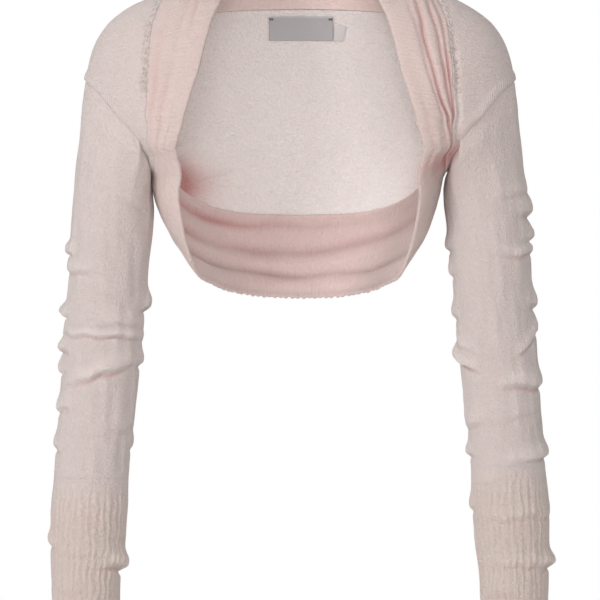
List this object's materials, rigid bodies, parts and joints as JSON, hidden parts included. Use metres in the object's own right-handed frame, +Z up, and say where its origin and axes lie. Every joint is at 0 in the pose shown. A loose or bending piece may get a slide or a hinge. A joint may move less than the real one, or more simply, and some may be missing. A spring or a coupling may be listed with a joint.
{
  "type": "bolero",
  "caption": "Short open-fronted knitted bolero with a wide ribbed band round its opening and long cuffed sleeves, filled out as if worn.",
  "frame": {"origin": "midway between the two places where the neck meets the shoulders, where the wearer's shoulders hold the garment up", "axes": "+Z up, -Y the open front, +X the wearer's left"},
  "size_m": [0.5038, 0.1893, 0.6869],
  "materials": {
    "knit": "fine slubbed knit with a soft nap",
    "rib": "ribbed knit with a soft nap",
    "label": "woven satin",
    "tab": "thin printed tape, bare"
  },
  "bodies": {
    "root": {"back_panel": "knit", "front_panel_left": "knit", "front_panel_right": "knit", "sleeve_left": "knit", "sleeve_right": "knit", "cuff_left": "rib", "cuff_right": "rib", "band_neck": "rib", "band_front_left": "rib", "band_front_right": "rib", "band_hem": "rib", "neck_label": "label", "size_tab": "tab"}
  },
  "joints": []
}
